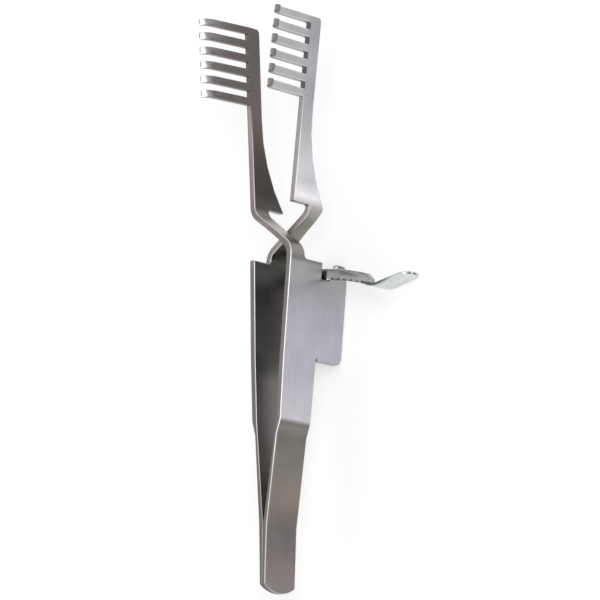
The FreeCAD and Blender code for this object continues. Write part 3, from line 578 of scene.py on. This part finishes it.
ear_outline = traced([
    (-EAR_FOLD, NOTCH_FLOOR),
    (-EAR_REACH - EAR_ROUND, NOTCH_FLOOR, EAR_ROUND, True),
    (-EAR_REACH, NOTCH_FLOOR + EAR_ROUND),
    (-EAR_REACH, WING_TOP - EAR_ROUND, EAR_ROUND, True),
    (-EAR_REACH - EAR_ROUND, WING_TOP),
    (-EAR_FOLD, WING_TOP),
])


def ear_place(out, up, layer):
    return on_tray(out, EAR_BACK if layer else EAR_FRONT, up)


ear = blanked("rivet_ear", [ear_outline], ear_place, RIM)
settled(ear, (grip_outside, grip_outside, far_edge, far_outer_rim_shade, far_outer_rim_shade))
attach(ear, "far_arm_body")


# The ratchet bar: polished steel strip on edge, curved about the heel, with saw teeth on its under side.
# The thumb plate, thin polished sheet, is brazed under its outer end; the bar turns on the ear's rivet.

def polished_steel(name, tones, roughness):
    """Bright steel with faint buffing marks and a few dull spots; tones are (mm out, colour) pairs, which on
    the bar's rims and gaps and the plate's edge are painted highlights and shade.
    """
    steel = bpy.data.materials.new(name)
    steel.use_nodes = True
    nodes, links = steel.node_tree.nodes, steel.node_tree.links
    shader = nodes["Principled BSDF"]
    shader.inputs["Metallic"].default_value = 1.0
    place = nodes.new("ShaderNodeTexCoord")
    buffed = nodes.new("ShaderNodeMapping")
    buffed.inputs["Scale"].default_value = (260, 1500, 1500)
    links.new(place.outputs["Object"], buffed.inputs[0])
    marks = nodes.new("ShaderNodeTexNoise")
    marks.inputs["Scale"].default_value = 1.0
    marks.inputs["Detail"].default_value = 4.0
    links.new(buffed.outputs[0], marks.inputs["Vector"])
    out = nodes.new("ShaderNodeSeparateXYZ")
    reach = nodes.new("ShaderNodeMapRange")
    reach.inputs["From Min"].default_value = on_tray(tones[0][0], 0, 0).x
    reach.inputs["From Max"].default_value = on_tray(tones[-1][0], 0, 0).x
    tone = nodes.new("ShaderNodeValToRGB")
    fill_ramp(tone, [((at - tones[0][0]) / (tones[-1][0] - tones[0][0]), colour, 1) for at, colour in tones])
    spots = nodes.new("ShaderNodeMapRange")
    spots.inputs["From Min"].default_value = 0.30
    spots.inputs["From Max"].default_value = 0.62
    spots.inputs["To Min"].default_value = 0.84
    spots.inputs["To Max"].default_value = 1.02
    tint = nodes.new("ShaderNodeVectorMath")
    tint.operation = "SCALE"
    links.new(place.outputs["Object"], out.inputs[0])
    links.new(out.outputs["X"], reach.inputs["Value"])
    links.new(reach.outputs[0], tone.inputs[0])
    links.new(marks.outputs[0], spots.inputs["Value"])
    links.new(tone.outputs[0], tint.inputs[0])
    links.new(spots.outputs[0], tint.inputs["Scale"])
    links.new(tint.outputs[0], shader.inputs["Base Color"])
    dull = nodes.new("ShaderNodeMapRange")
    dull.inputs["To Min"].default_value = roughness + 0.10
    dull.inputs["To Max"].default_value = roughness - 0.04
    links.new(marks.outputs[0], dull.inputs["Value"])
    links.new(dull.outputs[0], shader.inputs["Roughness"])
    bump = nodes.new("ShaderNodeBump")
    bump.inputs["Strength"].default_value = 0.10
    bump.inputs["Distance"].default_value = 0.00004
    links.new(marks.outputs[0], bump.inputs["Height"])
    links.new(bump.outputs[0], shader.inputs["Normal"])
    return steel


BAR_FRONT = 4.9
BAR_BACK = 6.4
BAR_RADIUS = 53.2
BAR_INSIDE = 51.2
BAR_CENTRE = 7.064
BAR_REACH = 16.0
BAR_END_SLOPE = 1.15
BAR_EYE = -2.75
SEAT_START = 14.9
PLATE_SHEET = 0.5
GAP_FIRST = 14.83
GAP_STEP = 1.52
GAP_COUNT = 9
GAP_DEPTH = 0.42
GAP_STEEP = 0.06
GAP_LAND = 0.22
PARK_GAPS = (6, 7)
PARK_WALL = 4.2
PARK_ROOT = 4.6
PARK_END = 6.3
PARK_HEIGHT = 1.48
TOP_BAND = 0.42
TOP_SETBACK = 0.40
TOP_CORNER = 0.17
EYE_RADIUS = 1.0
BAR_RIM = 0.12


def bar_level(out, radius):
    return BAR_CENTRE + math.sqrt(radius * radius - out * out)


def bar_outlines():
    """Side view of the bar in two parts: the rounded band along its top, and below it from the eye to the
    end and back along the teeth."""
    outs = np.linspace(BAR_EYE, BAR_REACH - BAR_END_SLOPE, 22)
    top = [(out, bar_level(out, BAR_RADIUS)) for out in outs]
    top.append((BAR_REACH, top[-1][1] - BAR_END_SLOPE))
    band = [(out, bar_level(out, BAR_RADIUS - TOP_BAND)) for out in outs[:-1]]
    band += [(outs[-1] - TOP_CORNER, bar_level(outs[-1], BAR_RADIUS - TOP_BAND)),
             (BAR_REACH, top[-1][1] - TOP_BAND)]
    seat = BAR_INSIDE + PLATE_SHEET
    points = [top[0]] + band
    points += [(BAR_REACH, bar_level(BAR_REACH, seat)), (SEAT_START, bar_level(SEAT_START, seat)),
               (SEAT_START, bar_level(SEAT_START, BAR_INSIDE))]
    for gap in range(GAP_COUNT):
        deep = GAP_FIRST - gap * GAP_STEP
        land = deep - GAP_STEP + GAP_LAND
        if gap == PARK_GAPS[0]:
            points[-1] = (PARK_END + 0.1, bar_level(PARK_END, BAR_INSIDE))
            for turn in np.linspace(0, math.pi / 2, 7):
                out = PARK_END - (PARK_END - PARK_ROOT) * math.sin(turn)
                points.append((out, bar_level(out, BAR_INSIDE + PARK_HEIGHT * (1 - math.cos(turn)))))
            points += [(PARK_WALL, bar_level(PARK_WALL, BAR_INSIDE + PARK_HEIGHT)),
                       (PARK_WALL, bar_level(PARK_WALL, BAR_INSIDE))]
        if gap not in PARK_GAPS:
            points += [(deep, bar_level(deep, BAR_INSIDE)),
                       (deep - GAP_STEEP, bar_level(deep, BAR_INSIDE + GAP_DEPTH)),
                       (land, bar_level(land, BAR_INSIDE))]
    middle = bar_level(BAR_EYE, BAR_INSIDE + EYE_RADIUS)
    eye = [(BAR_EYE + EYE_RADIUS * math.sin(angle), middle - EYE_RADIUS * math.cos(angle))
           for angle in np.linspace(0, -math.pi, 14)[:-1]]
    return (points + eye)[::-1], (top + band[::-1])[::-1]


def on_top(out, up):
    """Whether a point of the side view is on the bar's top, the slope at its end included."""
    slope = BAR_REACH - BAR_END_SLOPE + bar_level(BAR_REACH - BAR_END_SLOPE, BAR_RADIUS)
    return up > bar_level(out, BAR_RADIUS) - 0.05 or out + up > slope - 0.05


def bar_place(out, up, layer):
    return on_tray(out, BAR_BACK if layer else BAR_FRONT + (TOP_SETBACK if on_top(out, up) else 0), up)


def bar_kind(out, up):
    """Tone group of the bar's cut edge: 5 in the gaps between its teeth, which carry painted shade, 2
    elsewhere.
    """
    height = up - bar_level(out, BAR_INSIDE)
    return 5 if 0 < out < SEAT_START and 0.03 < height < PARK_HEIGHT + 0.05 else 2


def bar_keen(out, up):
    """The teeth's corners stay sharp."""
    return 0 < out < SEAT_START + 0.1 and up < bar_level(out, BAR_INSIDE + PARK_HEIGHT + 0.1)


bar_steel = polished_steel("bar_polished_steel", [
    (0, (0.34, 0.345, 0.34)), (16, (0.38, 0.39, 0.385)),
], 0.20)
# The bar's rims carry a painted highlight, lighter than its faces, dimmer at the sloped end.
bar_rim_highlight = polished_steel("bar_rim_painted_highlight", [
    (0, (0.62, 0.60, 0.54)), (14, (0.66, 0.65, 0.60)), (15, (0.40, 0.42, 0.42)), (26, (0.45, 0.46, 0.46)),
], 0.18)
# The tooth gaps carry painted shade, near black where the bar lies in the near wing's notch.
bar_gap_shade = polished_steel("tooth_gap_painted_shade", [
    (0, (0.03, 0.03, 0.03)), (5.3, (0.03, 0.03, 0.03)), (6.2, (0.24, 0.245, 0.25)), (16, (0.26, 0.265, 0.27)),
], 0.35)
bar = blanked("toothed_bar", bar_outlines(), bar_place, BAR_RIM, edge_kind=bar_kind, keen=bar_keen)
settled(bar, (bar_steel, bar_steel, bar_steel, bar_rim_highlight, bar_rim_highlight, bar_gap_shade))
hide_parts("ratchet_bar")
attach(bar, "bar_body")

PLATE_WIDTH = 5.0
PLATE_REACH = 26.15
PLATE_TIP = 2.4
PLATE_RIM = 0.12
ROOT_ROUND = 1.0
DIP_END = 19.8
DIP_DROP = 0.36
DIP_RADIUS = 5.1
CROWN_START = 24.75
CROWN_LIFT = 1.10
CROWN_RADIUS = 6.0
TIP_RISE = 0.14

plate_middle = (BAR_FRONT + BAR_BACK) / 2
plate_front = plate_middle - PLATE_WIDTH / 2
plate_back = plate_middle + PLATE_WIDTH / 2
rest_up = bar_level(BAR_REACH, BAR_INSIDE + PLATE_SHEET)
dip_up = rest_up - DIP_DROP
crown_up = dip_up + CROWN_LIFT
plate_line = [(out, bar_level(out, BAR_INSIDE + PLATE_SHEET))
              for out in np.linspace(SEAT_START, BAR_REACH, 4)[:-1]]
plate_line += arc_points((BAR_REACH, rest_up), (DIP_END, dip_up), DIP_RADIUS, True, 0.09)
plate_line += [(DIP_END, dip_up)]
plate_line += arc_points((CROWN_START, crown_up), (PLATE_REACH, crown_up + TIP_RISE), CROWN_RADIUS, False, 0.06)
plate_line += [(PLATE_REACH, crown_up + TIP_RISE)]
plate_outs = [out for out, up in plate_line]
plate_ups = [up for out, up in plate_line]
plate_outline = traced([
    (plate_front + ROOT_ROUND, SEAT_START, ROOT_ROUND, False),
    (plate_front, SEAT_START + ROOT_ROUND),
    (plate_front, PLATE_REACH - PLATE_TIP, PLATE_TIP, False),
    (plate_front + PLATE_TIP, PLATE_REACH),
    (plate_back - PLATE_TIP, PLATE_REACH, PLATE_TIP, False),
    (plate_back, PLATE_REACH - PLATE_TIP),
    (plate_back, SEAT_START + ROOT_ROUND, ROOT_ROUND, False),
    (plate_back - ROOT_ROUND, SEAT_START),
])


def plate_place(across, out, layer):
    return on_tray(out, across, np.interp(out, plate_outs, plate_ups) - layer * PLATE_SHEET)


plate_steel = polished_steel("plate_polished_steel", [
    (15, (0.56, 0.60, 0.60)), (26, (0.66, 0.68, 0.67)),
], 0.16)
# The thumb plate's edge is painted light and shade: dark by the bar, lighter towards the tip, with a painted
# glint between dark painted marks at the tip.
plate_edge_painted_light = polished_steel("plate_edge_painted_light", [
    (14.9, (0.10, 0.11, 0.12)), (20.0, (0.13, 0.145, 0.155)), (21.3, (0.24, 0.27, 0.28)),
    (22.7, (0.56, 0.60, 0.61)), (25.2, (0.58, 0.62, 0.63)), (25.72, (0.45, 0.49, 0.50)),
    (25.89, (0.13, 0.15, 0.16)), (26.02, (0.50, 0.53, 0.54)), (26.08, (0.90, 0.92, 0.92)),
    (26.11, (0.45, 0.48, 0.49)), (26.15, (0.14, 0.16, 0.17)),
], 0.16)
plate = blanked("thumb_rest", [plate_outline], plate_place, PLATE_RIM, plate_outs[1:-1])
settled(plate, (plate_steel, plate_steel, plate_edge_painted_light, plate_edge_painted_light, plate_edge_painted_light))
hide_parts("thumb_plate")
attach(plate, "bar_body")


# The rivet: a polished pin through the ear and the bar's eye, with a low domed head each side.
# Its shank is the CAD node's own cylinder; the heads are turned with rounded crowns.

HEAD_RADIUS = 1.0
HEAD_RISE = 0.4
SHANK_RADIUS = 0.6
FRONT_HEAD = 4.85
BACK_HEAD = 7.6
HEAD_STEPS = 6

low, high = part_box("bar_rivet")
rivet_at = (low + high) / 2
profile = [(0.0, FRONT_HEAD - HEAD_RISE)]
for step in range(1, HEAD_STEPS + 1):
    angle = step / HEAD_STEPS * math.pi / 2
    profile.append((HEAD_RADIUS * math.sin(angle), FRONT_HEAD - HEAD_RISE * math.cos(angle)))
profile += [(SHANK_RADIUS, FRONT_HEAD), (SHANK_RADIUS, BACK_HEAD)]
for step in range(HEAD_STEPS, -1, -1):
    angle = step / HEAD_STEPS * math.pi / 2
    profile.append((HEAD_RADIUS * math.sin(angle), BACK_HEAD + HEAD_RISE * math.cos(angle)))
turned = bmesh.new()
chain = [turned.verts.new((radius / 1000, 0, (WING_EDGE - across) / 1000)) for radius, across in profile]
spun = [turned.edges.new(pair) for pair in zip(chain, chain[1:])]
bmesh.ops.spin(turned, geom=chain + spun, cent=(0, 0, 0), axis=(0, 0, 1), angle=math.tau, steps=40,
               use_merge=True)
bmesh.ops.remove_doubles(turned, verts=turned.verts, dist=1e-7)
bmesh.ops.translate(turned, verts=turned.verts, vec=(rivet_at.x, rivet_at.y, 0))
bmesh.ops.recalc_face_normals(turned, faces=turned.faces)
for face in turned.faces:
    face.smooth = True
rivet_data = bpy.data.meshes.new("domed_rivet")
turned.to_mesh(rivet_data)
turned.free()
rivet_data.materials.append(bar_steel)
rivet = bpy.data.objects.new("domed_rivet", rivet_data)
bpy.context.scene.collection.objects.link(rivet)
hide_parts("bar_rivet")
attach(rivet, "far_arm_body")


# The studio: a white table that keeps the instrument's soft shadow, an even room, one wide lamp over the
# right side and one fill, and the camera that looks down at the instrument.

HALF_TABLE = 1.5
TABLE_DROP = 0.0002
TABLE_GLOW = 0.50
ROOM_LIGHT = 0.42
VIEW_DISTANCE = 0.994108

floor_data = bpy.data.meshes.new("white_table")
corners = [(-HALF_TABLE, -HALF_TABLE, 0), (HALF_TABLE, -HALF_TABLE, 0),
           (HALF_TABLE, HALF_TABLE, 0), (-HALF_TABLE, HALF_TABLE, 0)]
floor_data.from_pydata(corners, [], [(0, 1, 2, 3)])
floor = bpy.data.objects.new("white_table", floor_data)
floor.location.z = -TABLE_DROP
bpy.context.scene.collection.objects.link(floor)
white = bpy.data.materials.new("white_table_top")
white.use_nodes = True
nodes, links = white.node_tree.nodes, white.node_tree.links
nodes.remove(nodes["Principled BSDF"])
matt = nodes.new("ShaderNodeBsdfDiffuse")
matt.inputs["Color"].default_value = (0.86, 0.86, 0.86, 1)
glow = nodes.new("ShaderNodeEmission")
glow.inputs["Color"].default_value = (1, 1, 1, 1)
path = nodes.new("ShaderNodeLightPath")
seen = nodes.new("ShaderNodeMath")
seen.operation = "MAXIMUM"
links.new(path.outputs["Is Camera Ray"], seen.inputs[0])
links.new(path.outputs["Is Glossy Ray"], seen.inputs[1])
through = nodes.new("ShaderNodeMath")
through.operation = "MAXIMUM"
links.new(seen.outputs[0], through.inputs[0])
links.new(path.outputs["Is Transmission Ray"], through.inputs[1])
level = nodes.new("ShaderNodeMath")
level.operation = "MULTIPLY"
level.inputs[1].default_value = TABLE_GLOW
links.new(through.outputs[0], level.inputs[0])
links.new(level.outputs[0], glow.inputs["Strength"])
joined = nodes.new("ShaderNodeAddShader")
links.new(matt.outputs[0], joined.inputs[0])
links.new(glow.outputs[0], joined.inputs[1])
links.new(joined.outputs[0], nodes["Material Output"].inputs["Surface"])
floor_data.materials.append(white)

room = bpy.data.worlds.new("even_room")
room.use_nodes = True
bpy.context.scene.world = room
nodes, links = room.node_tree.nodes, room.node_tree.links
sky = nodes["Background"]
sky.inputs["Color"].default_value = (1, 1, 1, 1)
path = nodes.new("ShaderNodeLightPath")
seen = nodes.new("ShaderNodeMath")
seen.operation = "MAXIMUM"
links.new(path.outputs["Is Camera Ray"], seen.inputs[0])
links.new(path.outputs["Is Transmission Ray"], seen.inputs[1])
gloss = nodes.new("ShaderNodeMath")
gloss.operation = "MAXIMUM"
links.new(seen.outputs[0], gloss.inputs[0])
links.new(path.outputs["Is Glossy Ray"], gloss.inputs[1])
strength = nodes.new("ShaderNodeMapRange")
strength.inputs["To Min"].default_value = ROOM_LIGHT
strength.inputs["To Max"].default_value = 1.0
links.new(gloss.outputs[0], strength.inputs["Value"])
links.new(strength.outputs[0], sky.inputs["Strength"])

for name, watts, size, place in (
    ("wide_lamp", 2.2, 0.5, (0.62, 0.10, 0.72)),
    ("fill_lamp", 1.0, 0.7, (-0.55, -0.35, 0.70)),
):
    lamp = bpy.data.lights.new(name, "AREA")
    lamp.energy = watts
    lamp.size = size
    holder = bpy.data.objects.new(name, lamp)
    holder.location = place
    holder.rotation_euler = (-Vector(place)).to_track_quat("-Z", "Y").to_euler()
    bpy.context.scene.collection.objects.link(holder)

BACK = Vector((0.66468, -0.18842, 0.72303))
RIGHT = Vector((0.7399, 0.0315, -0.6720))
UP = BACK.cross(RIGHT)
target = on_tray(0, 0, LENGTH / 2)
camera_data = bpy.data.cameras.new("camera")
camera_data.sensor_width = 36.0
camera_data.lens = 328.7
camera_data.shift_x = 0.0252
camera_data.shift_y = 0.0125
camera_data.clip_end = 10.0
camera = bpy.data.objects.new("camera", camera_data)
turn = Matrix((RIGHT, UP, BACK)).transposed().to_4x4()
camera.matrix_world = Matrix.Translation(target + BACK * VIEW_DISTANCE) @ turn
bpy.context.scene.collection.objects.link(camera)
bpy.context.scene.camera = camera
bpy.context.scene.view_settings.view_transform = "Standard"
